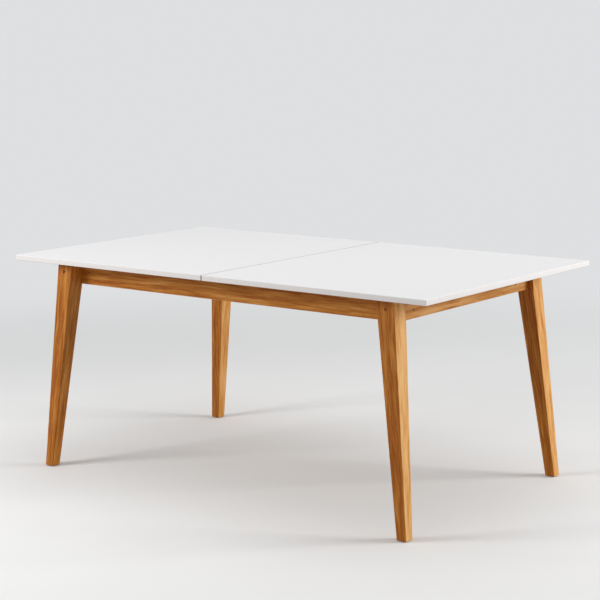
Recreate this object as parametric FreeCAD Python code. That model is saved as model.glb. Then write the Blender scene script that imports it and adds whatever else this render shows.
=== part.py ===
"""Extending dining table: a white top in two sliding halves on a splayed-leg wooden frame.

X runs along the table, Y across it, Z up. The origin is on the floor under the centre of the top.
Each half of the top slides outwards on two runners. A pinion between two racks keeps the halves even.
A folded leaf is stored on bearers inside the frame. All lengths are in millimetres.
"""
import FreeCAD, Part
import math
import os

Vector = FreeCAD.Vector

# Top
top_length = 1740.0
top_width = 1000.0
table_height = 760.0
top_thick = 18.0
seam_gap = 2.0
top_edge_radius = 2.0
seam_edge_radius = 1.5
travel = 225.0

# Legs: square, tapered, splayed along the length and across the width
end_overhang = 156.0
side_overhang = 58.0
leg_top_section = 66.0
leg_foot_section = 36.0
leg_splay_length = 69.0
leg_splay_width = 32.0
leg_edge_radius = 2.5
leg_seat_depth = 8.5

# Foot glides
glide_height = 3.0
glide_diameter = 24.0
glide_peg_diameter = 8.0
glide_peg_length = 14.0

# Aprons and their corner blocks
slide_gap = 2.0
apron_height = 80.0
apron_thick = 20.0
apron_edge_radius = 2.0
end_apron_setback = 18.0
block_leg = 80.0
block_end = 16.0
block_height = 56.0
block_drop = 8.0

# Frame fasteners
bolt_diameter = 6.0
bolt_head_diameter = 10.0
bolt_head_height = 3.0
bolt_socket_diameter = 4.6
bolt_recess = 2.0
barrel_diameter = 10.0
barrel_inset = 0.5
barrel_wall = 3.0
barrel_from_leg = 36.0
barrel_pass = 6.0
leg_bolt_drop = 33.0
long_bolt_from_leg = 26.0
long_bolt_drop = 39.0
end_bolt_from_leg = 77.0
end_bolt_drop = 52.0
apron_bolt_bite = 26.0
dowel_diameter = 8.0
dowel_in_leg = 20.0
dowel_in_apron = 30.0
upper_dowel_drop = 14.0
lower_dowel_drop = 62.0
screw_diameter = 4.5
screw_head_diameter = 8.0
screw_head_height = 3.0
screw_bite = 12.0

# Guide channels on the long aprons, with their stops
channel_block_gap = 17.0
channel_height = 30.0
channel_depth = 18.0
channel_wall = 3.0
channel_drop = 4.0
stop_length = 9.7
channel_screw_inset = 60.0
channel_screw_count = 4

# Runners under the top
runner_width = 17.4
runner_inset = 15.0
tongue_slack = 2.0
shoe_length = 40.0
shoe_peg_diameter = 6.0
shoe_peg_length = 9.0
runner_screw_inset = 45.0
runner_screw_count = 3
runner_counterbore = 12.0

# Pads that carry the sliding halves
pad_diameter = 16.0
pad_peg_diameter = 5.0
pad_peg_length = 8.0
pad_inner_x = 120.0
pad_from_leg = 159.0
pad_end_y = 150.0

# Stored leaf, its hinges and its bearers
leaf_clearance = 0.5
leaf_head_room = 3.6
leaf_fold_gap = 3.4
leaf_pad_thick = 1.0
leaf_pad_length = 30.0
leaf_pad_width = 60.0
leaf_pad_inset = 60.0
leaf_rack_gap = 12.0
bearer_thick = 18.0
bearer_width = 50.0
bearer_x = 150.0
hinge_length = 60.0
hinge_leaf_width = 30.0
hinge_leaf_thick = 1.5
hinge_knuckle_diameter = 6.0
hinge_pin_diameter = 3.0
hinge_spacing = 150.0
bracket_leg = 26.0
bracket_height = 14.0
bracket_thick = 2.0

# Alignment pins and bushes on the meeting edges
pin_diameter = 8.0
pin_reach = 12.0
pin_root = 18.0
bush_diameter = 12.0
bush_length = 16.0
pin_near_y = 150.0
pin_from_end = 110.0

# Rack and pinion that keep the two halves even
gear_module = 2.0
gear_teeth = 14
pressure_angle = math.radians(25)
addendum_share = 0.9
dedendum_share = 1.25
gear_backlash = 0.3
gear_thick = 12.0
rack_thick = 10.0
rack_back = 6.0
rack_lug_start = 20.0
rack_lug_length = 75.0
rack_gap = 4.0
rack_head_room = 9.0
hub_diameter = 18.0
hub_length = 13.7
axle_diameter = 8.0
axle_root = 14.0
axle_above_clip = 1.5
boss_diameter = 18.0
boss_flange_diameter = 40.0
boss_flange_thick = 3.0
clip_diameter = 14.0
clip_thick = 1.2
flank_points = 5

# Latches under the meeting edges
latch_from_apron = 36.0
latch_pivot_x = 16.0
latch_keeper_x = 12.0
latch_plate_thick = 3.0
latch_plate_width = 26.0
latch_plate_length = 44.0
latch_plate_inset = 4.0
latch_spacer = 2.0
latch_spacer_diameter = 14.0
latch_pin_diameter = 6.0
latch_arm_thick = 3.5
latch_arm_width = 12.0
latch_tip = 7.0
latch_tail = 24.0
latch_tab = 10.0
latch_washer_diameter = 12.0
latch_washer_thick = 1.5
latch_slot_slack = 1.2

# Clearances
running_clearance = 0.05
seat_clearance = 0.05
slide_clearance = 0.3
body_clearance = 0.6
cut_overrun = 5.0

# Levels
top_under = table_height - top_thick
frame_top = top_under - slide_gap
apron_bottom = frame_top - apron_height
leg_bolt_z = frame_top - leg_bolt_drop
block_top = frame_top - block_drop
channel_top = frame_top - channel_drop
channel_bottom = channel_top - channel_height
leaf_top = top_under - leaf_head_room
leaf_fold_top = leaf_top - top_thick
leaf_fold_low = leaf_fold_top - leaf_fold_gap
leaf_under = leaf_fold_low - top_thick
bearer_top = leaf_under - leaf_pad_thick
bearer_bottom = bearer_top - bearer_thick
rack_top = top_under - rack_head_room
rack_bottom = rack_top - rack_thick
gear_bottom = (rack_top + rack_bottom - gear_thick) / 2
gear_top = gear_bottom + gear_thick
hub_bottom = gear_bottom - hub_length

# Places in plan
leg_x = top_length / 2 - end_overhang
leg_y = top_width / 2 - side_overhang
seat_y = leg_y - leg_top_section + leg_seat_depth
apron_y = seat_y - apron_thick
end_outer_x = leg_x - end_apron_setback
end_inner_x = end_outer_x - apron_thick
end_mid_x = (end_outer_x + end_inner_x) / 2
leg_inner_x = leg_x - leg_top_section
channel_mouth_y = apron_y - channel_depth
web_y = apron_y - channel_wall
runner_y = channel_mouth_y - body_clearance
runner_inner_y = runner_y - runner_width
channel_half = end_inner_x - block_leg - channel_block_gap
runner_end = channel_half - stop_length - slide_clearance - travel
panel_edge = seam_gap / 2
panel_mid_z = top_under + top_thick / 2
leaf_half = travel - leaf_clearance
leaf_wing = top_width / 2 - leaf_clearance
pitch_radius = gear_module * gear_teeth / 2
tooth_pitch = math.pi * gear_module
addendum = addendum_share * gear_module
dedendum = dedendum_share * gear_module
pinion_y = runner_inner_y - rack_gap - rack_back - dedendum - pitch_radius
leaf_back_y = pinion_y - pitch_radius - dedendum - rack_back - leaf_rack_gap
fold_y = leaf_back_y - leaf_wing
latch_y = -(seat_y + latch_from_apron)
latch_plate_z = top_under - latch_plate_thick
latch_arm_top = latch_plate_z - latch_spacer
latch_arm_low = latch_arm_top - latch_arm_thick

ORIGIN = Vector(0, 0, 0)
X = Vector(1, 0, 0)
Y = Vector(0, 1, 0)
Z = Vector(0, 0, 1)


def box(low, high):
    """Block between two corners."""
    size = Vector(*high) - Vector(*low)
    return Part.makeBox(size.x, size.y, size.z, Vector(*low))


def rod(diameter, start, direction, length):
    """Round bar from a point along a direction."""
    return Part.makeCylinder(diameter / 2, length, Vector(*start), direction)


def prism(points, low, high):
    """Upright solid on a plan outline."""
    wire = Part.makePolygon([Vector(x, y, low) for x, y in points + points[:1]])
    return Part.Face(wire).extrude(Vector(0, 0, high - low))


def fused(shapes):
    """One solid from touching shapes."""
    whole = shapes[0].fuse(shapes[1:]).removeSplitter()
    return whole.Solids[0]


def mirrored(shape, along_x=False, along_y=False):
    """Mirror image across the table's middle planes."""
    if along_x:
        shape = shape.mirror(ORIGIN, X)
    if along_y:
        shape = shape.mirror(ORIGIN, Y)
    return shape


def half_turn(shape):
    """Copy turned by half a turn about the pinion's axis."""
    copy = shape.copy()
    copy.rotate(Vector(0, pinion_y, 0), Z, 180)
    return copy


def screw(head, direction, grip):
    """Flat-headed screw: the head's outer face is at the given point."""
    shank = rod(screw_diameter, head, direction, grip + screw_bite)
    cap = rod(screw_head_diameter, head, direction, screw_head_height)
    return fused([shank, cap])


def screw_hole(head, direction, grip):
    """Cutter for a screw, open behind the head."""
    wide = screw_head_diameter + 2 * seat_clearance
    narrow = screw_diameter + 2 * seat_clearance
    back = Vector(*head) - direction * cut_overrun
    sink = rod(wide, back, direction, cut_overrun + screw_head_height)
    return sink.fuse(rod(narrow, head, direction, grip + screw_bite + seat_clearance))


def bolt(head, direction, length):
    """Hexagon-socket bolt: the head's outer face is at the given point."""
    shank = rod(bolt_diameter, head, direction, length)
    cap = rod(bolt_head_diameter, head, direction, bolt_head_height)
    socket = Part.makePolygon(hexagon(bolt_socket_diameter))
    socket = Part.Face(socket).extrude(Vector(0, 0, bolt_head_height / 2))
    socket.Placement = FreeCAD.Placement(Vector(*head), FreeCAD.Rotation(Z, direction))
    return fused([shank, cap]).cut(socket)


def hexagon(across):
    """Closed ring of corners about the origin."""
    turns = [math.radians(60 * corner) for corner in range(7)]
    return [Vector(across / 2 * math.cos(a), across / 2 * math.sin(a), 0) for a in turns]


def bolt_hole(head, direction, length):
    """Cutter for a bolt, open behind the head."""
    wide = bolt_head_diameter + 2 * seat_clearance
    narrow = bolt_diameter + 2 * seat_clearance
    back = Vector(*head) - direction * cut_overrun
    sink = rod(wide, back, direction, cut_overrun + bolt_head_height)
    return sink.fuse(rod(narrow, head, direction, length + seat_clearance))


def spread(first, last, count):
    """Evenly spaced places from first to last."""
    return [first + (last - first) * step / (count - 1) for step in range(count)]


# Frame fasteners at the corner with positive X and Y
leg_bolt_head = (end_mid_x, leg_y - bolt_recess, leg_bolt_z)
leg_bolt_length = leg_bolt_head[1] - seat_y + barrel_from_leg + barrel_pass
long_bolt_head = (leg_inner_x - long_bolt_from_leg, seat_y, frame_top - long_bolt_drop)
end_bolt_head = (end_outer_x, seat_y - end_bolt_from_leg, frame_top - end_bolt_drop)
apron_bolt_length = apron_thick + apron_bolt_bite
dowel_levels = (frame_top - lower_dowel_drop, frame_top - upper_dowel_drop)


def dowel(level, slack=0.0):
    """Dowel between a leg and an end apron."""
    start = (end_mid_x, seat_y - dowel_in_apron - slack, level)
    length = dowel_in_apron + dowel_in_leg + 2 * slack
    return rod(dowel_diameter + 2 * slack, start, Y, length)


def barrel_nut():
    """Cross dowel that the leg bolt screws into, let in from the end apron's inner face."""
    start = (end_inner_x + barrel_inset, seat_y - barrel_from_leg, leg_bolt_z)
    body = rod(barrel_diameter, start, X, apron_thick - barrel_inset - barrel_wall)
    return body.cut(bolt_hole(leg_bolt_head, -Y, leg_bolt_length))


def barrel_hole():
    """Blind hole in the end apron, open at its inner face."""
    start = (end_outer_x - barrel_wall, seat_y - barrel_from_leg, leg_bolt_z)
    return rod(barrel_diameter + 2 * seat_clearance, start, -X, apron_thick + cut_overrun)


def square(corner_x, corner_y, section, level):
    """Square section whose outer corner is given."""
    xs = (corner_x - section, corner_x)
    ys = (corner_y - section, corner_y)
    ring = [(xs[0], ys[0]), (xs[1], ys[0]), (xs[1], ys[1]), (xs[0], ys[1]), (xs[0], ys[0])]
    return Part.makePolygon([Vector(x, y, level) for x, y in ring])


def leg():
    """Back right leg: a splayed taper with a plumb seat for the aprons."""
    foot = square(leg_x + leg_splay_length, leg_y + leg_splay_width, leg_foot_section, glide_height)
    head = square(leg_x, leg_y, leg_top_section, frame_top)
    body = Part.makeLoft([foot, head], True, True)
    long_edges = [edge for edge in body.Edges if edge.Length > leg_top_section * 2]
    body = body.makeFillet(leg_edge_radius, long_edges)
    seat_low = (leg_inner_x - cut_overrun, seat_y - leg_top_section, apron_bottom)
    seat_high = (leg_x + leg_splay_length, seat_y, frame_top + cut_overrun)
    body = body.cut(box(seat_low, seat_high))
    cutters = [bolt_hole(leg_bolt_head, -Y, leg_bolt_length), glide_peg(seat_clearance)]
    cutters += [dowel(level, seat_clearance) for level in dowel_levels]
    return body.cut(cutters).Solids[0]


foot_x = leg_x + leg_splay_length - leg_foot_section / 2
foot_y = leg_y + leg_splay_width - leg_foot_section / 2


def glide_peg(slack=0.0):
    """Peg of a foot glide, or with slack the hole for it."""
    start = (foot_x, foot_y, glide_height)
    return rod(glide_peg_diameter + 2 * slack, start, Z, glide_peg_length + slack)


def foot_glide():
    """Round glide under a foot, with an eased rim and a peg."""
    disc = rod(glide_diameter, (foot_x, foot_y, 0), Z, glide_height)
    rim = [edge for edge in disc.Edges if edge.BoundBox.ZMax < glide_height / 2]
    return fused([disc.makeFillet(glide_height / 3, rim), glide_peg()])


def eased_board(low, high):
    """Board whose long lower edges are rounded."""
    board = box(low, high)
    long_way = max(high[0] - low[0], high[1] - low[1])
    lower = [
        edge for edge in board.Edges
        if edge.BoundBox.ZMax < (low[2] + high[2]) / 2 and edge.Length > long_way / 2
    ]
    return board.makeFillet(apron_edge_radius, lower)


def long_apron():
    """Back long apron, behind the legs, with its bolt, channel and pad holes."""
    board = eased_board((-end_inner_x, apron_y, apron_bottom), (end_inner_x, seat_y, frame_top))
    cutters = []
    for side in (False, True):
        cutters.append(mirrored(bolt_hole(long_bolt_head, -Y, apron_bolt_length), side))
    cutters += [screw_hole((x, web_y, channel_mid_z), Y, 0) for x in channel_screw_places]
    cutters += [pad_peg(x, pad_long_y, seat_clearance) for x in pad_long_places]
    cutters += [screw_hole(head, Y, bracket_thick) for head in bracket_apron_heads]
    return board.cut(cutters).Solids[0]


def end_apron():
    """Right end apron, whose ends rest against the legs' seats."""
    board = eased_board((end_inner_x, -seat_y, apron_bottom), (end_outer_x, seat_y, frame_top))
    cutters = []
    for side in (False, True):
        corner = [bolt_hole(leg_bolt_head, -Y, leg_bolt_length), barrel_hole()]
        corner += [dowel(level, seat_clearance) for level in dowel_levels]
        corner += [bolt_hole(end_bolt_head, -X, apron_bolt_length)]
        corner += [pad_peg(end_mid_x, pad_end_y, seat_clearance)]
        cutters += [mirrored(shape, along_y=side) for shape in corner]
    return board.cut(cutters).Solids[0]


def corner_block():
    """Block bolted into the back right inner corner."""
    inner_x = end_inner_x - block_leg
    inner_y = apron_y - block_leg
    outline = [
        (end_inner_x, apron_y), (inner_x, apron_y), (inner_x, apron_y - block_end),
        (end_inner_x - block_end, inner_y), (end_inner_x, inner_y),
    ]
    body = prism(outline, block_top - block_height, block_top)
    cutters = [bolt_hole(long_bolt_head, -Y, apron_bolt_length)]
    cutters.append(bolt_hole(end_bolt_head, -X, apron_bolt_length))
    return body.cut(cutters).Solids[0]


# Guide channels
channel_mid_z = (channel_top + channel_bottom) / 2
channel_screw_end = channel_half - channel_screw_inset
channel_screw_places = spread(-channel_screw_end, channel_screw_end, channel_screw_count)


def channel_screw(x):
    """Screw through the channel's web into the long apron, flush inside the channel."""
    return screw((x, web_y, channel_mid_z), Y, 0)


def guide_channel():
    """Back guide channel, open towards the table's middle."""
    body = box((-channel_half, channel_mouth_y, channel_bottom), (channel_half, apron_y, channel_top))
    slot_low = (-channel_half - cut_overrun, channel_mouth_y - cut_overrun, channel_bottom + channel_wall)
    slot_high = (channel_half + cut_overrun, web_y, channel_top - channel_wall)
    body = body.cut(box(slot_low, slot_high))
    holes = [screw_hole((x, web_y, channel_mid_z), Y, 0) for x in channel_screw_places]
    return body.cut(holes).Solids[0]


def slide_stop():
    """Stop block at the channel's right end."""
    low = (channel_half - stop_length, channel_mouth_y, channel_bottom + channel_wall)
    return box(low, (channel_half, web_y, channel_top - channel_wall))


# Runners
runner_screw_places = spread(
    runner_inset + runner_screw_inset, runner_end - runner_screw_inset, runner_screw_count
)
runner_mid_y = (runner_y + runner_inner_y) / 2
shoe_low = channel_bottom + channel_wall + slide_clearance
shoe_high = channel_top - channel_wall - slide_clearance
shoe_y = web_y - slide_clearance
shoe_starts = (runner_inset, runner_end - shoe_length)
runner_grip = top_under - channel_bottom - runner_counterbore


def runner_screw_head(x):
    """Place of a runner screw's head, at the bottom of its counterbore."""
    return (x, runner_mid_y, channel_bottom + runner_counterbore)


def runner_counterbore_cut(x):
    """Round counterbore up from the runner's underside."""
    start = (x, runner_mid_y, channel_bottom - cut_overrun)
    return rod(screw_head_diameter + 2 * seat_clearance, start, Z, cut_overrun + runner_counterbore)


def shoe_peg(start_x, slack=0.0):
    """Peg of a glide shoe, or with slack the hole for it."""
    start = (start_x + shoe_length / 2, runner_y, channel_mid_z)
    return rod(shoe_peg_diameter + 2 * slack, start, -Y, shoe_peg_length + slack)


def runner():
    """Right back runner: a bar under the top with a tongue that lies in the channel."""
    bar = box((runner_inset, runner_inner_y, channel_bottom), (runner_end, runner_y, top_under))
    tongue_low = (runner_inset + shoe_length, runner_y, shoe_low + tongue_slack)
    tongue_high = (runner_end - shoe_length, shoe_y - tongue_slack, shoe_high - tongue_slack)
    body = fused([bar, box(tongue_low, tongue_high)])
    cutters = [runner_counterbore_cut(x) for x in runner_screw_places]
    cutters += [screw_hole(runner_screw_head(x), Z, runner_grip) for x in runner_screw_places]
    cutters += [shoe_peg(start, seat_clearance) for start in shoe_starts]
    return body.cut(cutters).Solids[0]


def glide_shoe(start_x):
    """Nylon shoe at one end of a runner's tongue."""
    pad = box((start_x, runner_y, shoe_low), (start_x + shoe_length, shoe_y, shoe_high))
    return fused([pad, shoe_peg(start_x)])


# Pads on the aprons
pad_long_y = (apron_y + seat_y) / 2
pad_outer_x = leg_inner_x - pad_from_leg
pad_long_places = (-pad_outer_x, -pad_inner_x, pad_inner_x, pad_outer_x)


def pad_peg(x, y, slack=0.0):
    """Peg of a slide pad, or with slack the hole for it."""
    start = (x, y, frame_top - pad_peg_length - slack)
    return rod(pad_peg_diameter + 2 * slack, start, Z, pad_peg_length + slack)


def slide_pad(x, y):
    """Low nylon button that one half of the top glides on."""
    button = rod(pad_diameter, (x, y, frame_top), Z, slide_gap - slide_clearance)
    return fused([button, pad_peg(x, y)])


# Stored leaf
pin_far_y = top_width / 2 - pin_from_end
leaf_pin_places = (fold_y + pin_near_y, fold_y + pin_far_y)
wing_levels = ((leaf_under, leaf_fold_low), (leaf_fold_top, leaf_top))
hinge_z = (leaf_fold_low + leaf_fold_top) / 2
hinge_y = fold_y - hinge_knuckle_diameter / 2
hinge_places = (-hinge_spacing, 0, hinge_spacing)


def edge_bush(edge_x, y, z):
    """Round bush let into an edge that faces the right, open at that edge."""
    start = (edge_x - bush_length, y, z)
    tube = rod(bush_diameter, start, X, bush_length)
    return tube.cut(rod(pin_diameter + 2 * slide_clearance, start, X, bush_length))


def edge_bush_hole(edge_x, y, z):
    """Hole that holds a bush."""
    start = (edge_x - bush_length, y, z)
    return rod(bush_diameter + 2 * seat_clearance, start, X, bush_length + cut_overrun)


def edge_pin(edge_x, y, z):
    """Round-nosed pin that stands out of an edge that faces the left."""
    nose = edge_x - pin_reach
    body = rod(pin_diameter, (nose, y, z), X, pin_reach + pin_root)
    rim = [edge for edge in body.Edges if edge.BoundBox.XMax < nose + pin_reach / 2]
    return body.makeFillet(pin_diameter / 4, rim)


def edge_pin_hole(edge_x, y, z):
    """Hole that holds a pin's root."""
    start = (edge_x - cut_overrun, y, z)
    return rod(pin_diameter + 2 * seat_clearance, start, X, cut_overrun + pin_root + seat_clearance)


def leaf_wing_board(low, high):
    """One wing of the folded leaf."""
    board = box((-leaf_half, fold_y, low), (leaf_half, fold_y + leaf_wing, high))
    mid = (low + high) / 2
    cutters = [edge_pin_hole(-leaf_half, y, mid) for y in leaf_pin_places]
    cutters += [edge_bush_hole(leaf_half, y, mid) for y in leaf_pin_places]
    return board.cut(cutters).Solids[0]


def hinge_leaf(x, upper):
    """Hinge leaf inside the fold: the lower one has the outer knuckles, the upper the middle one."""
    third = hinge_length / 3
    start = x - hinge_length / 2
    plate_low = leaf_fold_low if not upper else leaf_fold_top - hinge_leaf_thick
    plate = box(
        (start, hinge_y, plate_low),
        (start + hinge_length, fold_y + hinge_leaf_width, plate_low + hinge_leaf_thick),
    )
    barrel_starts = (start + third,) if upper else (start, start + 2 * third)
    knuckles = [
        rod(hinge_knuckle_diameter, (place, hinge_y, hinge_z), X, third) for place in barrel_starts
    ]
    kept = fused([plate] + knuckles)
    gap_starts = (start, start + 2 * third) if upper else (start + third,)
    swing = hinge_knuckle_diameter + 2 * slide_clearance
    cutters = [
        rod(swing, (place - slide_clearance / 2, hinge_y, hinge_z), X, third + slide_clearance)
        for place in gap_starts
    ]
    pin_hole = hinge_pin_diameter + 2 * running_clearance
    cutters.append(rod(pin_hole, (start, hinge_y, hinge_z), X, hinge_length))
    return kept.cut(cutters).Solids[0]


def hinge_pin(x):
    """Pin through the hinge's knuckles."""
    return rod(hinge_pin_diameter, (x - hinge_length / 2, hinge_y, hinge_z), X, hinge_length)


# Bearers across the frame
bearer_places = {"leaf_bearer_left": -bearer_x, "pinion_rail": 0.0, "leaf_bearer_right": bearer_x}
bearer_mid_z = (bearer_top + bearer_bottom) / 2
bracket_sides = [x + bearer_width / 2 for x in bearer_places.values()]
bracket_apron_heads = [
    (x + bracket_leg / 2 + bracket_thick / 2, apron_y - bracket_thick - screw_head_height, bearer_mid_z)
    for x in bracket_sides
]


def bracket_rail_head(x):
    """Place of the screw that fixes a bracket to its bearer."""
    return (x + bracket_thick + screw_head_height, apron_y - bracket_leg / 2 - bracket_thick, bearer_mid_z)


def angle_bracket(x):
    """Steel angle between a bearer's side and the long apron."""
    low = bearer_mid_z - bracket_height / 2
    high = bearer_mid_z + bracket_height / 2
    on_rail = box((x, apron_y - bracket_leg, low), (x + bracket_thick, apron_y, high))
    on_apron = box((x, apron_y - bracket_thick, low), (x + bracket_leg, apron_y, high))
    body = fused([on_rail, on_apron])
    shank = screw_diameter + 2 * seat_clearance
    apron_hole = rod(shank, (x + bracket_leg / 2 + bracket_thick / 2, apron_y, bearer_mid_z), -Y, cut_overrun)
    rail_hole = rod(shank, (x, apron_y - bracket_leg / 2 - bracket_thick, bearer_mid_z), X, cut_overrun)
    return body.cut([apron_hole, rail_hole]).Solids[0]


def bracket_screws(x):
    """The two screws of one bracket, with raised heads."""
    place = bracket_sides.index(x)
    grip = bracket_thick + screw_head_height - screw_bite / 2
    return [screw(bracket_apron_heads[place], Y, grip), screw(bracket_rail_head(x), -X, grip)]


def bearer(x):
    """Cross rail between the long aprons."""
    half = bearer_width / 2
    board = box((x - half, -apron_y, bearer_bottom), (x + half, apron_y, bearer_top))
    grip = bracket_thick + screw_head_height
    holes = [screw_hole(bracket_rail_head(x + half), -X, grip)]
    cutters = holes + [mirrored(hole, along_y=True) for hole in holes]
    if x == 0:
        cutters.append(axle(seat_clearance))
    return board.cut(cutters).Solids[0]


# Rack and pinion
def axle(slack=0.0):
    """Pin that the pinion turns on, or with slack the hole for it."""
    start = (0, pinion_y, bearer_top - axle_root - slack)
    top = gear_top + slide_clearance + clip_thick + axle_above_clip
    return rod(axle_diameter + 2 * slack, start, Z, top - start[2])


def axle_boss():
    """Flanged boss on the rail that carries the pinion."""
    flange = rod(boss_flange_diameter, (0, pinion_y, bearer_top), Z, boss_flange_thick)
    post = rod(boss_diameter, (0, pinion_y, bearer_top), Z, hub_bottom - slide_clearance - bearer_top)
    return fused([flange, post]).cut(axle(seat_clearance))


def axle_clip():
    """Ring that keeps the pinion on its pin."""
    ring = rod(clip_diameter, (0, pinion_y, gear_top + slide_clearance), Z, clip_thick)
    return ring.cut(axle(seat_clearance))


def involute(angle):
    """Involute function of a pressure angle."""
    return math.tan(angle) - angle


def gear_point(radius, turn):
    """Point on the pinion's lower face."""
    return Vector(radius * math.cos(turn), pinion_y + radius * math.sin(turn), gear_bottom)


def tooth_edges(middle, next_middle):
    """Edges of one pinion tooth and of the root after it."""
    base = pitch_radius * math.cos(pressure_angle)
    tip = pitch_radius + addendum
    root = pitch_radius - dedendum
    half_tooth = (tooth_pitch / 2 - gear_backlash) / 2 / pitch_radius + involute(pressure_angle)

    def half_angle(radius):
        return half_tooth - involute(math.acos(min(base / radius, 1)))

    radii = spread(base, tip, flank_points)
    rising = [gear_point(radius, middle - half_angle(radius)) for radius in radii]
    falling = [gear_point(radius, middle + half_angle(radius)) for radius in reversed(radii)]
    root_angle = half_angle(base)
    start = gear_point(root, middle - root_angle)
    end = gear_point(root, middle + root_angle)
    after = gear_point(root, next_middle - root_angle)
    edges = [Part.LineSegment(start, rising[0]).toShape()]
    for points in (rising, falling):
        curve = Part.BSplineCurve()
        curve.interpolate(points)
        edges.append(curve.toShape())
    edges.insert(2, Part.Arc(rising[-1], gear_point(tip, middle), falling[0]).toShape())
    edges.append(Part.LineSegment(falling[-1], end).toShape())
    edges.append(Part.Arc(end, gear_point(root, (middle + next_middle) / 2), after).toShape())
    return edges


def pinion():
    """Involute pinion with a hub, one tooth pointing straight at each rack."""
    step = 2 * math.pi / gear_teeth
    middles = [math.pi / 2 + step * tooth for tooth in range(gear_teeth + 1)]
    edges = []
    for middle, next_middle in zip(middles, middles[1:]):
        edges += tooth_edges(middle, next_middle)
    rim = Part.Face(Part.Wire(edges)).extrude(Vector(0, 0, gear_thick))
    hub = rod(hub_diameter, (0, pinion_y, hub_bottom), Z, hub_length)
    bore = rod(
        axle_diameter + 2 * running_clearance,
        (0, pinion_y, hub_bottom - cut_overrun), Z, hub_length + gear_thick + 2 * cut_overrun,
    )
    return fused([rim, hub]).cut(bore).Solids[0]


rack_screw_places = (
    rack_lug_start + rack_lug_length / 4,
    rack_lug_start + rack_lug_length * 3 / 4,
)


def rack_screw_head(x):
    """Place of a rack screw's head, flush with the rack's underside."""
    back = pinion_y + pitch_radius + dedendum + rack_back
    return (x, back - screw_head_diameter * 3 / 4, rack_bottom)


def rack():
    """Rack of the right half: it reaches past the pinion and hangs from a lug under the top."""
    pitch_line = pinion_y + pitch_radius
    tip_line = pitch_line - addendum
    root_line = pitch_line + dedendum
    back_line = root_line + rack_back
    reach = travel + tooth_pitch * 3
    tip_half = tooth_pitch / 4 - gear_backlash / 2 - addendum * math.tan(pressure_angle)
    root_half = tooth_pitch / 4 - gear_backlash / 2 + dedendum * math.tan(pressure_angle)
    outline = [(-reach, back_line), (-reach, root_line)]
    first = -math.floor((reach - root_half) / tooth_pitch - 0.5)
    for tooth in range(first, 3):
        middle = (tooth - 0.5) * tooth_pitch
        outline.append((middle - root_half, root_line))
        outline.append((middle - tip_half, tip_line))
        outline.append((middle + tip_half, tip_line))
        outline.append((middle + root_half, root_line))
    lug_end = rack_lug_start + rack_lug_length
    outline += [(lug_end, root_line), (lug_end, back_line)]
    bar = prism(outline, rack_bottom, rack_top)
    lug_front = back_line - screw_head_diameter * 3 / 2
    lug = box((rack_lug_start, lug_front, rack_bottom), (lug_end, back_line, top_under))
    holes = [screw_hole(rack_screw_head(x), Z, top_under - rack_bottom) for x in rack_screw_places]
    return fused([bar, lug]).cut(holes).Solids[0]


# Latches, drawn for the front edge
latch_reach = latch_pivot_x + latch_keeper_x
latch_plate_end = latch_plate_inset + latch_plate_length
latch_screw_places = (latch_pivot_x + latch_spacer_diameter, latch_plate_end - screw_head_diameter)


def latch_screw(x):
    """Screw through a latch plate into the top."""
    return screw((x, latch_y, latch_plate_z), Z, latch_plate_thick)


def latch_screw_hole(x):
    """Cutter for a latch plate's screw."""
    return screw_hole((x, latch_y, latch_plate_z), Z, latch_plate_thick)


def latch_plate():
    """Plate with a spacer and a stud for the latch's lever."""
    half = latch_plate_width / 2
    plate = box(
        (latch_plate_inset, latch_y - half, latch_plate_z),
        (latch_plate_end, latch_y + half, top_under),
    )
    spacer = rod(latch_spacer_diameter, (latch_pivot_x, latch_y, latch_plate_z), -Z, latch_spacer)
    stud_length = latch_spacer + latch_arm_thick + 2 * slide_clearance + latch_washer_thick
    stud = rod(latch_pin_diameter, (latch_pivot_x, latch_y, latch_plate_z), -Z, stud_length)
    body = fused([plate, spacer, stud])
    return body.cut([latch_screw_hole(x) for x in latch_screw_places]).Solids[0]


def latch_keeper():
    """Plate on the left half with the pin that the lever hooks."""
    half = latch_plate_width / 2
    plate = box(
        (-latch_plate_end, latch_y - half, latch_plate_z),
        (-latch_plate_inset, latch_y + half, top_under),
    )
    pin_length = latch_spacer + latch_arm_thick + slide_clearance
    pin = rod(latch_pin_diameter, (-latch_keeper_x, latch_y, latch_plate_z), -Z, pin_length)
    return fused([plate, pin]).cut([latch_screw_hole(-x) for x in latch_screw_places]).Solids[0]


def latch_lever():
    """Hooked lever: its outline is drawn hooked, then turned to where it rests."""
    half = latch_arm_width / 2
    low = latch_arm_low - slide_clearance
    high = latch_arm_top - slide_clearance
    thick = high - low
    hook_x = latch_pivot_x - latch_reach
    arm = box((hook_x - latch_tip, latch_y - half, low), (latch_pivot_x, latch_y + half, high))
    eye = rod(latch_spacer_diameter, (latch_pivot_x, latch_y, low), Z, thick)
    tail_end = latch_pivot_x + latch_tail
    tail = box((latch_pivot_x, latch_y - half / 2, low), (tail_end, latch_y + half / 2, high))
    tab = box((tail_end - thick, latch_y - half, low - latch_tab), (tail_end, latch_y + half, high))
    slot_half = latch_pin_diameter / 2 + latch_slot_slack
    slot = box(
        (hook_x - slot_half, latch_y, low - cut_overrun),
        (hook_x + slot_half, latch_y + half + cut_overrun, high + cut_overrun),
    )
    slot_end = rod(2 * slot_half, (hook_x, latch_y, low - cut_overrun), Z, thick + 2 * cut_overrun)
    bore = rod(
        latch_pin_diameter + 2 * running_clearance,
        (latch_pivot_x, latch_y, low - cut_overrun), Z, thick + 2 * cut_overrun,
    )
    lever = fused([arm, eye, tail, tab]).cut([slot, slot_end, bore]).Solids[0]
    lever.rotate(Vector(latch_pivot_x, latch_y, 0), Z, 90)
    return lever


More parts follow.
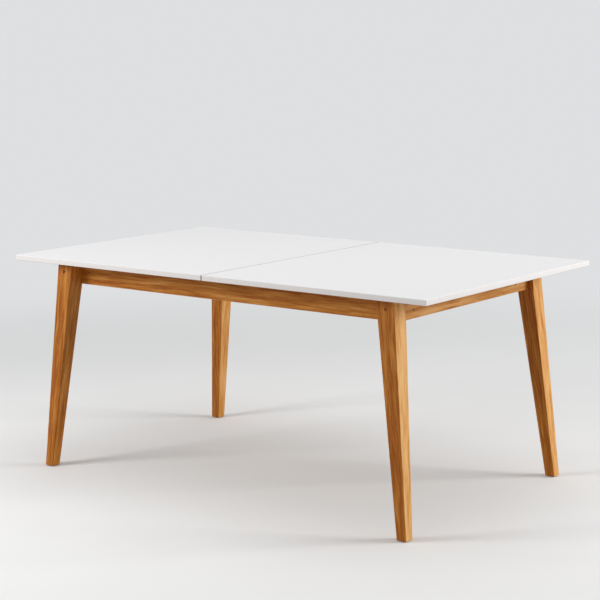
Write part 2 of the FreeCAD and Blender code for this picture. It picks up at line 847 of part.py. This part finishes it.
def latch_washer():
    """Washer riveted under the lever."""
    top = latch_arm_low - 2 * slide_clearance
    ring = rod(latch_washer_diameter, (latch_pivot_x, latch_y, top), -Z, latch_washer_thick)
    stud = rod(latch_pin_diameter + 2 * seat_clearance, (latch_pivot_x, latch_y, top), -Z, latch_washer_thick)
    return ring.cut(stud)


# Halves of the top
edge_pin_places = (-pin_far_y, -pin_near_y, pin_near_y, pin_far_y)


def panel_fasteners():
    """Cutters that both halves share, drawn for the right half."""
    cutters = []
    for side in (False, True):
        for x in runner_screw_places:
            hole = screw_hole(runner_screw_head(x), Z, runner_grip)
            cutters.append(mirrored(hole, along_y=side))
        cutters += [mirrored(latch_screw_hole(x), along_y=side) for x in latch_screw_places]
    return cutters


def rack_fasteners():
    """Cutters for the right rack's screws."""
    return [screw_hole(rack_screw_head(x), Z, top_under - rack_bottom) for x in rack_screw_places]


def blank_panel():
    """Right half of the top before it is drilled, with eased outer edges."""
    end = top_length / 2
    board = box((panel_edge, -top_width / 2, top_under), (end, top_width / 2, table_height))
    outer = [edge for edge in board.Edges if edge.BoundBox.XMax > panel_edge + top_edge_radius]
    board = board.makeFillet(top_edge_radius, outer)
    seam = [
        edge for edge in board.Edges
        if edge.BoundBox.XMax < panel_edge + seam_gap and edge.BoundBox.ZMin > panel_mid_z
        and edge.Length > top_width / 2
    ]
    return board.makeFillet(seam_edge_radius, seam)


def right_panel():
    """Right half of the top."""
    cutters = panel_fasteners() + rack_fasteners()
    cutters += [edge_pin_hole(panel_edge, y, panel_mid_z) for y in edge_pin_places]
    return blank_panel().cut(cutters).Solids[0]


def left_panel():
    """Left half of the top."""
    cutters = [mirrored(shape, along_x=True) for shape in panel_fasteners()]
    cutters += [half_turn(shape) for shape in rack_fasteners()]
    cutters += [edge_bush_hole(-panel_edge, y, panel_mid_z) for y in edge_pin_places]
    return mirrored(blank_panel(), along_x=True).cut(cutters).Solids[0]


def four_corners(shape):
    """Copies of a back right piece at all four corners."""
    sides = (False, True)
    return [mirrored(shape, along_x, along_y) for along_x in sides for along_y in sides]


def both_sides(shapes, along_x=False):
    """Back pieces and their mirror images at the front, or right ones and left ones."""
    return list(shapes) + [mirrored(shape, along_x, not along_x) for shape in shapes]


def frame_nodes():
    """The standing frame."""
    nodes = {}
    corners = (("back_right", False, False), ("front_right", False, True),
               ("back_left", True, False), ("front_left", True, True))
    post = leg()
    block = corner_block()
    for name, along_x, along_y in corners:
        nodes["leg_" + name] = [mirrored(post, along_x, along_y)]
        nodes["corner_block_" + name] = [mirrored(block, along_x, along_y)]
    for name, along_y in (("back", False), ("front", True)):
        nodes["long_apron_" + name] = [mirrored(long_apron(), along_y=along_y)]
        nodes["guide_channel_" + name] = [mirrored(guide_channel(), along_y=along_y)]
    for name, along_x in (("right", False), ("left", True)):
        nodes["end_apron_" + name] = [mirrored(end_apron(), along_x)]
    nodes["foot_glides"] = four_corners(foot_glide())
    nodes["leg_bolts"] = four_corners(bolt(leg_bolt_head, -Y, leg_bolt_length))
    nodes["barrel_nuts"] = four_corners(barrel_nut())
    apron_bolts = [bolt(long_bolt_head, -Y, apron_bolt_length), bolt(end_bolt_head, -X, apron_bolt_length)]
    nodes["apron_bolts"] = [copy for piece in apron_bolts for copy in four_corners(piece)]
    nodes["leg_dowels"] = [copy for level in dowel_levels for copy in four_corners(dowel(level))]
    nodes["channel_screws"] = both_sides([channel_screw(x) for x in channel_screw_places])
    nodes["slide_stops"] = four_corners(slide_stop())
    pads = [slide_pad(x, pad_long_y) for x in pad_long_places]
    nodes["slide_pads"] = both_sides(pads) + four_corners(slide_pad(end_mid_x, pad_end_y))
    return nodes


def leaf_nodes():
    """The bearers, the stored leaf and the pinion's bearing."""
    nodes = {name: [bearer(x)] for name, x in bearer_places.items()}
    nodes["rail_brackets"] = both_sides([angle_bracket(x) for x in bracket_sides])
    nodes["rail_bracket_screws"] = both_sides([item for x in bracket_sides for item in bracket_screws(x)])
    pads = []
    for x in (-bearer_x, bearer_x):
        for y in (fold_y + leaf_pad_inset, leaf_back_y - leaf_pad_inset):
            low = (x - leaf_pad_length / 2, y - leaf_pad_width / 2, bearer_top)
            pads.append(box(low, (x + leaf_pad_length / 2, y + leaf_pad_width / 2, leaf_under)))
    nodes["leaf_pads"] = pads
    for name, (low, high) in zip(("leaf_wing_lower", "leaf_wing_upper"), wing_levels):
        nodes[name] = [leaf_wing_board(low, high)]
    places = [(y, (low + high) / 2) for low, high in wing_levels for y in leaf_pin_places]
    nodes["leaf_pins"] = [edge_pin(-leaf_half, y, z) for y, z in places]
    nodes["leaf_bushes"] = [edge_bush(leaf_half, y, z) for y, z in places]
    nodes["leaf_hinge_lower_plates"] = [hinge_leaf(x, False) for x in hinge_places]
    nodes["leaf_hinge_upper_plates"] = [hinge_leaf(x, True) for x in hinge_places]
    nodes["leaf_hinge_pins"] = [hinge_pin(x) for x in hinge_places]
    nodes["pinion_boss"] = [axle_boss()]
    nodes["pinion_axle"] = [axle()]
    nodes["pinion_clip"] = [axle_clip()]
    nodes["drive_pinion"] = [pinion()]
    return nodes


def half_top_nodes():
    """The two sliding halves with what they carry."""
    nodes = {"top_panel_right": [right_panel()], "top_panel_left": [left_panel()]}
    bar = runner()
    shoes = both_sides([glide_shoe(start) for start in shoe_starts])
    screws = [screw(runner_screw_head(x), Z, runner_grip) for x in runner_screw_places]
    screws = both_sides(screws + [latch_screw(x) for x in latch_screw_places])
    rack_screws = [screw(rack_screw_head(x), Z, top_under - rack_bottom) for x in rack_screw_places]
    for name, along_x in (("right", False), ("left", True)):
        nodes["runner_%s_back" % name] = [mirrored(bar, along_x)]
        nodes["runner_%s_front" % name] = [mirrored(bar, along_x, True)]
        nodes["glide_shoes_" + name] = [mirrored(shape, along_x) for shape in shoes]
        nodes["top_screws_" + name] = [mirrored(shape, along_x) for shape in screws]
    nodes["top_screws_right"] += rack_screws
    nodes["top_screws_left"] += [half_turn(shape) for shape in rack_screws]
    nodes["rack_right"] = [rack()]
    nodes["rack_left"] = [half_turn(rack())]
    nodes["alignment_pins"] = [edge_pin(panel_edge, y, panel_mid_z) for y in edge_pin_places]
    nodes["alignment_bushes"] = [edge_bush(-panel_edge, y, panel_mid_z) for y in edge_pin_places]
    return nodes


def latch_nodes():
    """The latches at the front and back edges."""
    nodes = {}
    for name, along_y in (("front", False), ("back", True)):
        nodes["latch_lever_" + name] = [mirrored(latch_lever(), along_y=along_y)]
    nodes["latch_plates"] = both_sides([latch_plate()])
    nodes["latch_washers"] = both_sides([latch_washer()])
    nodes["latch_keepers"] = both_sides([latch_keeper()])
    return nodes


def main():
    """Build every node and write it."""
    os.makedirs("parts", exist_ok=True)
    nodes = {}
    for group in (frame_nodes, leaf_nodes, half_top_nodes, latch_nodes):
        nodes.update(group())
    for name, solids in nodes.items():
        shape = solids[0] if len(solids) == 1 else Part.makeCompound(solids)
        shape.exportStep("parts/%s.step" % name)


main()
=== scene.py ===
import math

import bpy
from mathutils import Matrix, Vector


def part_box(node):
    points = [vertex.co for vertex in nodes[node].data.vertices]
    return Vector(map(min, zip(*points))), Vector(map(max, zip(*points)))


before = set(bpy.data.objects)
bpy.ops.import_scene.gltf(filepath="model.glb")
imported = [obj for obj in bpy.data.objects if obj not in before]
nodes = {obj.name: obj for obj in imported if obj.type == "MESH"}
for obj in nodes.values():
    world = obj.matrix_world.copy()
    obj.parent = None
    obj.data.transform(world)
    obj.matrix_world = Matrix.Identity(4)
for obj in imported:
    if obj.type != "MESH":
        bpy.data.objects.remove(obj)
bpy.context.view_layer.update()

# Camera, fitted to the photograph's edges and feet. The focal length is in pixels of the photograph's width.
CAMERA_PLACE = (3.5188, -4.4976, 1.5553)
CAMERA_YAW = math.radians(126.882)
CAMERA_PITCH = math.radians(9.917)
CAMERA_ROLL = math.radians(-0.393)
FOCAL_PIXELS = 1663.6
PHOTO_WIDTH = 600
SENSOR_WIDTH = 36.0
SHIFT = (-0.05, 0.025)
CLIP_END = 100.0

# Colours, linear, from the darkest to the palest of each material
WOOD = (
    (0.27, 0.070, 0.005, 1),
    (0.38, 0.112, 0.010, 1),
    (0.60, 0.246, 0.043, 1),
    (0.81, 0.45, 0.16, 1),
    (0.90, 0.57, 0.25, 1),
)
INNER_WOOD = (
    (0.32, 0.16, 0.06, 1),
    (0.40, 0.22, 0.09, 1),
    (0.50, 0.30, 0.14, 1),
    (0.60, 0.39, 0.20, 1),
    (0.68, 0.47, 0.27, 1),
)
LACQUER = ((0.862, 0.852, 0.857, 1), (0.872, 0.862, 0.867, 1))
BRONZED_STEEL = ((0.22, 0.105, 0.04, 1), (0.29, 0.155, 0.065, 1))
ZINC_STEEL = ((0.42, 0.43, 0.44, 1), (0.55, 0.56, 0.57, 1))
ALUMINIUM = ((0.58, 0.59, 0.60, 1), (0.68, 0.69, 0.70, 1))
WHITE_NYLON = ((0.66, 0.66, 0.62, 1), (0.73, 0.73, 0.69, 1))
GREY_NYLON = ((0.03, 0.03, 0.033, 1), (0.05, 0.05, 0.053, 1))
GREY_FELT = ((0.08, 0.08, 0.085, 1), (0.16, 0.16, 0.165, 1))
DARK_GLIDE = ((0.012, 0.009, 0.007, 1), (0.022, 0.017, 0.014, 1))
FLOOR = ((0.855, 0.855, 0.85, 1), (0.87, 0.87, 0.865, 1))
# Grey painted shade on the half tops along the seam
PAINTED_SEAM_SHADE = (0.42, 0.42, 0.42, 1)
FLOOR_BOUNCE = (0.42, 0.35, 0.28, 1)
BACKGROUND = (0.97, 0.98, 0.99, 1)

# Grain: noise scale across it, how far the noise is drawn out along it, and weights of patches, streaks,
# pores and rings in the colour
PATCH_SCALE = 75.0
PATCH_STRETCH = 14.0
STREAK_SCALE = 300.0
STREAK_STRETCH = 24.0
PORE_SCALE = 1300.0
PORE_STRETCH = 30.0
GRAIN_WEIGHTS = (0.78, 0.62, 0.28, 0.06)
GRAIN_DETAIL = 4.0
GRAIN_ROUGHNESS = 0.55
WOOD_STOPS = (0.06, 0.27, 0.5, 0.73, 0.94)

# Growth rings: their width, their centre beside the board, its drift along the board and its wander
RING_WIDTH = 0.013
RING_CENTRE = 0.07
RING_DRIFT = 0.05
RING_WANDER = 4 * RING_WIDTH
RING_WANDER_SCALE = 6.0

# Boards: steps in the grain's pattern from one board of a kind to the next, offsets of single boards, and
# how many times further an offset moves the pattern along the grain than it moves the rings across it
LEG_STEP = 0.014
BLOCK_STEP = 0.03
LONG_APRON_STEP = 0.013
END_APRON_STEP = 0.017
BEARER_OFFSET = 0.02
DOWEL_OFFSET = 0.01
OFFSET_ALONG = 7.0

# Tones: painted shade on faces that look across the table and painted light on those that look along it,
# each leg's own painted light there (painted shade on the front left leg), and tones of whole boards
FLAT_FACE_PAINTED_SHADE = -0.16
EDGE_FACE_PAINTED_LIGHT = 0.14
# Painted light on the legs' faces that look along the table, painted shade on the front left leg's
LEG_EDGE_PAINTED_LIGHT_SHADE = {"front_left": -0.06, "front_right": 0.19, "back_left": 0.14, "back_right": 0.14}
LONG_APRON_TONE = 0.06
END_APRON_TONE = -0.07

# Lean of the legs, which their grain follows from the frame's top downwards
LEG_LEAN_X = 0.114
LEG_LEAN_Y = 0.0635
FRAME_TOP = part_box("leg_front_right")[1].z

# Finish of the wood: roughness, how far it goes up and down with the streaks, gloss and relief
WOOD_ROUGHNESS = 0.42
INNER_ROUGHNESS = 0.6
RUNNER_ROUGHNESS = 0.55
GRAIN_ROUGHNESS_SPREAD = 0.24
WOOD_GLOSS = 0.18
WOOD_RELIEF_STRENGTH = 0.08
WOOD_RELIEF = 0.0004

# Finish of the lacquer, and the grey painted shade on each half top along the seam: its width, and how far
# it reaches from the middle of the gap
LACQUER_SCALE = 40.0
LACQUER_ROUGHNESS = 0.45
LACQUER_ROUGHNESS_SCALE = 25.0
LACQUER_GLOSS = 0.3
LACQUER_RELIEF_SCALE = 700.0
LACQUER_RELIEF_STRENGTH = 0.05
LACQUER_RELIEF = 0.0001
LEAF_ROUGHNESS = 0.34
PAINTED_SEAM_SHADE_WIDTH = 0.0017
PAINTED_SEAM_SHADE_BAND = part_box("top_panel_right")[0].x + PAINTED_SEAM_SHADE_WIDTH

# Mottle of the other materials
MOTTLE_STOPS = (0.35, 0.65)
ROUGHNESS_SPREAD = 0.12
FELT_RELIEF_STRENGTH = 0.25
FELT_RELIEF = 0.0008

# Surroundings: their strength as light and as background, the floor, and where it fades into them
WORLD_LIGHT = 0.40
WORLD_SEEN = 0.76
FLOOR_SIZE = 80.0
FLOOR_SCALE = 3.0
FLOOR_STOPS = (0.3, 0.7)
FLOOR_ROUGHNESS = 0.8
FLOOR_GLOSS = 0.2
FADE_START = 1.4
FADE_END = 4.5

# Lamps: name, place, target, size and power in watts
LAMPS = (
    ("window_right", (5.4, 3.4, 2.4), (0.4, 0.0, 0.5), (2.5, 2.1), 260),
    ("fill_front", (-2.1, -2.9, 1.9), (-0.5, -0.3, 0.4), (1.2, 1.0), 62),
    ("overhead", (0.3, 0.2, 4.4), (0.0, 0.0, 0.7), (4.0, 4.0), 56),
)

# A Mix node's two colour inputs and its colour output
MIX_INPUTS = (6, 7)
MIX_OUTPUT = 2


def new_material(name):
    """Empty node material with its shader and its output joined."""
    material = bpy.data.materials.new(name)
    material.use_nodes = True
    tree = material.node_tree
    tree.nodes.clear()
    output = tree.nodes.new("ShaderNodeOutputMaterial")
    shader = tree.nodes.new("ShaderNodeBsdfPrincipled")
    tree.links.new(shader.outputs["BSDF"], output.inputs["Surface"])
    return material, tree, shader


def add(tree, kind, **settings):
    """New shader node with its plain properties set."""
    node = tree.nodes.new(kind)
    for key, value in settings.items():
        setattr(node, key, value)
    return node


def feed(tree, slot, value):
    """Set an input to a number or a colour, or link it to a socket."""
    if isinstance(value, (int, float, tuple)):
        slot.default_value = value
    else:
        tree.links.new(value, slot)


def math_node(tree, operation, *values):
    """Maths node whose inputs are numbers or sockets."""
    node = add(tree, "ShaderNodeMath", operation=operation)
    for slot, value in zip(node.inputs, values):
        feed(tree, slot, value)
    return node.outputs[0]


def ramp(tree, source, places, colours):
    """Colour ramp over a socket."""
    node = add(tree, "ShaderNodeValToRGB")
    elements = node.color_ramp.elements
    while len(elements) < len(places):
        elements.new(0.5)
    for element, place, colour in zip(elements, places, colours):
        element.position = place
        element.color = colour
    tree.links.new(source, node.inputs["Fac"])
    return node.outputs["Color"]


def noise(tree, vector, scale, detail=3.0, rough=0.5):
    """Noise value over a vector socket."""
    node = add(tree, "ShaderNodeTexNoise")
    node.inputs["Scale"].default_value = scale
    node.inputs["Detail"].default_value = detail
    node.inputs["Roughness"].default_value = rough
    tree.links.new(vector, node.inputs["Vector"])
    return node.outputs["Fac"]


def mix_colour(tree, share, first, second):
    """Mix of two colours, each a constant or a socket, by a share."""
    node = add(tree, "ShaderNodeMix", data_type="RGBA")
    tree.links.new(share, node.inputs["Factor"])
    for index, value in zip(MIX_INPUTS, (first, second)):
        feed(tree, node.inputs[index], value)
    return node.outputs[MIX_OUTPUT]


def combine(tree, x, y, z):
    """Vector from three sockets."""
    node = add(tree, "ShaderNodeCombineXYZ")
    for slot, value in zip(node.inputs, (x, y, z)):
        tree.links.new(value, slot)
    return node.outputs[0]


def split(tree, coordinates):
    """The three axes of a texture coordinate."""
    node = add(tree, "ShaderNodeSeparateXYZ")
    tree.links.new(add(tree, "ShaderNodeTexCoord").outputs[coordinates], node.inputs[0])
    return node.outputs


def object_place(tree):
    """A point's place in the part's own frame."""
    return add(tree, "ShaderNodeTexCoord").outputs["Object"]


def bump(tree, shader, height, strength, distance):
    """Fine relief on a shader."""
    node = add(tree, "ShaderNodeBump")
    node.inputs["Strength"].default_value = strength
    node.inputs["Distance"].default_value = distance
    tree.links.new(height, node.inputs["Height"])
    tree.links.new(node.outputs["Normal"], shader.inputs["Normal"])


def vary_roughness(tree, shader, value, rough, spread):
    """Roughness that goes up and down with a noise value."""
    low = rough - spread / 2
    tree.links.new(math_node(tree, "MULTIPLY_ADD", value, spread, low), shader.inputs["Roughness"])


def grain_axes(tree, grain):
    """Along-grain socket and the two across it. Grain along z follows the lean of the legs."""
    x, y, z = split(tree, "Object")
    if grain == "x":
        return x, y, z
    if grain == "y":
        return y, x, z
    drop = math_node(tree, "SUBTRACT", z, FRAME_TOP)
    lean_x = math_node(tree, "MULTIPLY", drop, LEG_LEAN_X)
    lean_y = math_node(tree, "MULTIPLY", drop, LEG_LEAN_Y)
    plumb_x = math_node(tree, "ADD", math_node(tree, "ABSOLUTE", x), lean_x)
    plumb_y = math_node(tree, "ADD", math_node(tree, "ABSOLUTE", y), lean_y)
    return z, plumb_x, plumb_y


def rings(tree, along, across, up, offset):
    """Growth rings about an axis that lies beside the board and drifts along it."""
    drift = math_node(tree, "MULTIPLY_ADD", along, RING_DRIFT, RING_CENTRE + offset)
    wander = noise(tree, combine(tree, along, across, up), RING_WANDER_SCALE)
    centre = math_node(tree, "MULTIPLY_ADD", wander, RING_WANDER, drift)
    side = math_node(tree, "ADD", across, centre)
    square = math_node(tree, "MULTIPLY_ADD", side, side, math_node(tree, "POWER", up, 2.0))
    phase = math_node(tree, "MULTIPLY", math_node(tree, "SQRT", square), 2 * math.pi / RING_WIDTH)
    return math_node(tree, "MULTIPLY_ADD", math_node(tree, "SINE", phase), 0.5, 0.5)


def streaks(tree, along, across, up, offset, scale, stretch):
    """Noise drawn out along the grain."""
    moved = math_node(tree, "ADD", along, OFFSET_ALONG * offset)
    slow = math_node(tree, "DIVIDE", moved, stretch)
    return noise(tree, combine(tree, slow, across, up), scale, GRAIN_DETAIL, GRAIN_ROUGHNESS)


def painted_face_light_shade(tree, edge_painted_light_shade):
    """Painted light or shade by the given amount on the faces that look along the table, and painted shade
    on those that look across it.
    """
    across = math_node(tree, "POWER", split(tree, "Normal")[1], 2.0)
    return math_node(tree, "MULTIPLY_ADD", across, FLAT_FACE_PAINTED_SHADE - edge_painted_light_shade, edge_painted_light_shade)


def wood(name, grain, colours, offset, rough, tone=0.0, edge_painted_light_shade=EDGE_FACE_PAINTED_LIGHT):
    """Oiled wood with broad patches, streaks, pores and faint rings along the grain, and painted light and
    shade by which way each face looks.
    """
    material, tree, shader = new_material(name)
    along, across, up = grain_axes(tree, grain)
    patch = streaks(tree, along, across, up, offset, PATCH_SCALE, PATCH_STRETCH)
    fine = streaks(tree, along, across, up, offset, STREAK_SCALE, STREAK_STRETCH)
    pores = streaks(tree, along, across, up, offset, PORE_SCALE, PORE_STRETCH)
    ring = rings(tree, along, across, up, offset)
    level = 0.5 + tone - sum(GRAIN_WEIGHTS) / 2
    # Painted light and shade by which way the face looks, under the grain
    total = math_node(tree, "ADD", painted_face_light_shade(tree, edge_painted_light_shade), level)
    for layer, weight in zip((patch, fine, pores, ring), GRAIN_WEIGHTS):
        total = math_node(tree, "MULTIPLY_ADD", layer, weight, total)
    tree.links.new(ramp(tree, total, WOOD_STOPS, colours), shader.inputs["Base Color"])
    vary_roughness(tree, shader, fine, rough, GRAIN_ROUGHNESS_SPREAD)
    shader.inputs["Specular IOR Level"].default_value = WOOD_GLOSS
    bump(tree, shader, fine, WOOD_RELIEF_STRENGTH, WOOD_RELIEF)
    return material


def panel_lacquer():
    """White satin lacquer with a grey painted shade along the edge where the half tops meet."""
    material, tree, shader = new_material("white_lacquer")
    place = object_place(tree)
    from_seam = math_node(tree, "ABSOLUTE", split(tree, "Object")[0])
    # Grey painted shade over the first millimetres of each half top from the seam
    in_painted_seam_shade = math_node(tree, "LESS_THAN", from_seam, PAINTED_SEAM_SHADE_BAND)
    white = ramp(tree, noise(tree, place, LACQUER_SCALE), MOTTLE_STOPS, LACQUER)
    tree.links.new(mix_colour(tree, in_painted_seam_shade, white, PAINTED_SEAM_SHADE), shader.inputs["Base Color"])
    gloss = noise(tree, place, LACQUER_ROUGHNESS_SCALE)
    vary_roughness(tree, shader, gloss, LACQUER_ROUGHNESS, ROUGHNESS_SPREAD)
    shader.inputs["Specular IOR Level"].default_value = LACQUER_GLOSS
    peel = noise(tree, place, LACQUER_RELIEF_SCALE)
    bump(tree, shader, peel, LACQUER_RELIEF_STRENGTH, LACQUER_RELIEF)
    return material


def speckled(name, colours, scale, rough, metal=0.0, relief=0.0):
    """Surface with a slight mottle between two colours."""
    material, tree, shader = new_material(name)
    value = noise(tree, object_place(tree), scale)
    tree.links.new(ramp(tree, value, MOTTLE_STOPS, colours), shader.inputs["Base Color"])
    vary_roughness(tree, shader, value, rough, ROUGHNESS_SPREAD)
    shader.inputs["Metallic"].default_value = metal
    if relief:
        bump(tree, shader, value, FELT_RELIEF_STRENGTH, relief)
    return material


def paint(material, *names):
    """Give CAD nodes a material."""
    for name in names:
        slots = nodes[name].data.materials
        if not slots:
            slots.append(material)
        for index in range(len(slots)):
            slots[index] = material


def seen_directly(tree):
    """One for what the camera sees, straight, by reflection or through glass, and nought for other light."""
    path = add(tree, "ShaderNodeLightPath").outputs
    mirrored = math_node(tree, "MAXIMUM", path["Is Glossy Ray"], path["Is Transmission Ray"])
    return math_node(tree, "MAXIMUM", path["Is Camera Ray"], mirrored)


def floor_plane():
    """Pale floor that keeps the table's shadow and fades into the background."""
    bpy.ops.mesh.primitive_plane_add(size=FLOOR_SIZE, location=(0, 0, 0))
    floor = bpy.context.object
    floor.name = "floor"
    material, tree, shader = new_material("pale_floor")
    output = shader.outputs["BSDF"].links[0].to_node
    seen = seen_directly(tree)
    place = object_place(tree)
    pale = ramp(tree, noise(tree, place, FLOOR_SCALE), FLOOR_STOPS, FLOOR)
    tree.links.new(mix_colour(tree, seen, FLOOR_BOUNCE, pale), shader.inputs["Base Color"])
    shader.inputs["Roughness"].default_value = FLOOR_ROUGHNESS
    shader.inputs["Specular IOR Level"].default_value = FLOOR_GLOSS
    glow = add(tree, "ShaderNodeEmission")
    glow.inputs["Color"].default_value = BACKGROUND
    glow.inputs["Strength"].default_value = WORLD_SEEN
    blend = add(tree, "ShaderNodeMixShader")
    tree.links.new(math_node(tree, "MULTIPLY", floor_fade(tree, place), seen), blend.inputs[0])
    tree.links.new(shader.outputs["BSDF"], blend.inputs[1])
    tree.links.new(glow.outputs[0], blend.inputs[2])
    tree.links.new(blend.outputs[0], output.inputs["Surface"])
    floor.data.materials.append(material)


def floor_fade(tree, place):
    """Nought near the table and one far from it."""
    reach = add(tree, "ShaderNodeVectorMath", operation="LENGTH")
    tree.links.new(place, reach.inputs[0])
    fade = add(tree, "ShaderNodeMapRange", interpolation_type="SMOOTHSTEP")
    tree.links.new(reach.outputs["Value"], fade.inputs["Value"])
    fade.inputs["From Min"].default_value = FADE_START
    fade.inputs["From Max"].default_value = FADE_END
    return fade.outputs["Result"]


def studio_world():
    """Pale surroundings that light the table evenly."""
    world = bpy.data.worlds.new("studio")
    bpy.context.scene.world = world
    world.use_nodes = True
    tree = world.node_tree
    back = tree.nodes["Background"]
    back.inputs["Color"].default_value = BACKGROUND
    more = WORLD_SEEN - WORLD_LIGHT
    strength = math_node(tree, "MULTIPLY_ADD", seen_directly(tree), more, WORLD_LIGHT)
    tree.links.new(strength, back.inputs["Strength"])


def area_light(name, place, target, size, power):
    """Large soft lamp aimed at a point, which the camera doesn't see."""
    data = bpy.data.lights.new(name, "AREA")
    data.shape = "RECTANGLE"
    data.size, data.size_y = size
    data.energy = power
    lamp = bpy.data.objects.new(name, data)
    bpy.context.collection.objects.link(lamp)
    lamp.location = place
    lamp.visible_camera = False
    lamp.rotation_euler = (Vector(target) - Vector(place)).to_track_quat("-Z", "Y").to_euler()


def photo_camera():
    """Camera at the photograph's viewing angle."""
    data = bpy.data.cameras.new("photo_camera")
    data.sensor_fit = "HORIZONTAL"
    data.sensor_width = SENSOR_WIDTH
    data.lens = FOCAL_PIXELS / PHOTO_WIDTH * SENSOR_WIDTH
    data.shift_x, data.shift_y = SHIFT
    data.clip_end = CLIP_END
    camera = bpy.data.objects.new("photo_camera", data)
    bpy.context.collection.objects.link(camera)
    level = math.cos(CAMERA_PITCH)
    yaw_x, yaw_y = math.cos(CAMERA_YAW), math.sin(CAMERA_YAW)
    forward = Vector((level * yaw_x, level * yaw_y, -math.sin(CAMERA_PITCH)))
    flat_right = Vector((yaw_y, -yaw_x, 0))
    flat_up = flat_right.cross(forward)
    right = math.cos(CAMERA_ROLL) * flat_right + math.sin(CAMERA_ROLL) * flat_up
    up = math.cos(CAMERA_ROLL) * flat_up - math.sin(CAMERA_ROLL) * flat_right
    turn = Matrix((right, up, -forward)).transposed().to_4x4()
    camera.matrix_world = Matrix.Translation(Vector(CAMERA_PLACE)) @ turn
    bpy.context.scene.camera = camera


# Wood that shows, and the corner blocks behind it
for place, corner in enumerate(("front_left", "front_right", "back_left", "back_right")):
    # Each leg's own painted light, or painted shade on the front left leg, on the faces that look along the
    # table
    leg_painted_light_shade = LEG_EDGE_PAINTED_LIGHT_SHADE[corner]
    paint(
        wood("leg_wood_" + corner, "z", WOOD, LEG_STEP * place, WOOD_ROUGHNESS, edge_painted_light_shade=leg_painted_light_shade),
        "leg_" + corner,
    )
    paint(
        wood("block_wood_" + corner, "x", INNER_WOOD, BLOCK_STEP * place, INNER_ROUGHNESS),
        "corner_block_" + corner,
    )
for place, side in enumerate(("front", "back")):
    offset = LONG_APRON_STEP * place
    paint(
        wood("long_apron_wood_" + side, "x", WOOD, offset, WOOD_ROUGHNESS, LONG_APRON_TONE),
        "long_apron_" + side,
    )
for place, side in enumerate(("left", "right")):
    offset = END_APRON_STEP * place
    paint(
        wood("end_apron_wood_" + side, "y", WOOD, offset, WOOD_ROUGHNESS, END_APRON_TONE),
        "end_apron_" + side,
    )

# Wood inside
paint(
    wood("bearer_wood", "y", INNER_WOOD, BEARER_OFFSET, INNER_ROUGHNESS),
    "leaf_bearer_left", "leaf_bearer_right", "pinion_rail",
)
paint(wood("dowel_wood", "y", INNER_WOOD, DOWEL_OFFSET, INNER_ROUGHNESS), "leg_dowels")
paint(
    wood("runner_wood", "x", INNER_WOOD, 0.0, RUNNER_ROUGHNESS),
    "runner_right_back", "runner_right_front", "runner_left_back", "runner_left_front",
)

# Lacquer
paint(panel_lacquer(), "top_panel_right", "top_panel_left")
paint(
    speckled("leaf_lacquer", LACQUER, scale=LACQUER_SCALE, rough=LEAF_ROUGHNESS),
    "leaf_wing_lower", "leaf_wing_upper",
)

# Metal, nylon, felt and the feet
paint(
    speckled("bronzed_steel", BRONZED_STEEL, scale=300.0, rough=0.5, metal=0.8),
    "leg_bolts", "apron_bolts", "barrel_nuts",
)
paint(
    speckled("zinc_steel", ZINC_STEEL, scale=220.0, rough=0.36, metal=1.0),
    "channel_screws", "rail_brackets", "rail_bracket_screws", "top_screws_right", "top_screws_left",
    "leaf_hinge_lower_plates", "leaf_hinge_upper_plates", "leaf_hinge_pins", "leaf_pins",
    "pinion_axle", "pinion_clip", "alignment_pins", "latch_plates", "latch_washers", "latch_keepers",
    "latch_lever_front", "latch_lever_back",
)
paint(
    speckled("channel_aluminium", ALUMINIUM, scale=120.0, rough=0.42, metal=1.0),
    "guide_channel_back", "guide_channel_front",
)
paint(
    speckled("white_nylon", WHITE_NYLON, scale=150.0, rough=0.55),
    "slide_stops", "slide_pads", "leaf_bushes", "glide_shoes_right", "glide_shoes_left",
    "alignment_bushes", "pinion_boss",
)
paint(
    speckled("grey_nylon", GREY_NYLON, scale=200.0, rough=0.5),
    "drive_pinion", "rack_right", "rack_left",
)
paint(speckled("grey_felt", GREY_FELT, scale=900.0, rough=0.95, relief=FELT_RELIEF), "leaf_pads")
paint(speckled("dark_glide", DARK_GLIDE, scale=250.0, rough=0.6), "foot_glides")

floor_plane()
studio_world()
for lamp in LAMPS:
    area_light(*lamp)
photo_camera()
bpy.context.scene.view_settings.view_transform = "Standard"
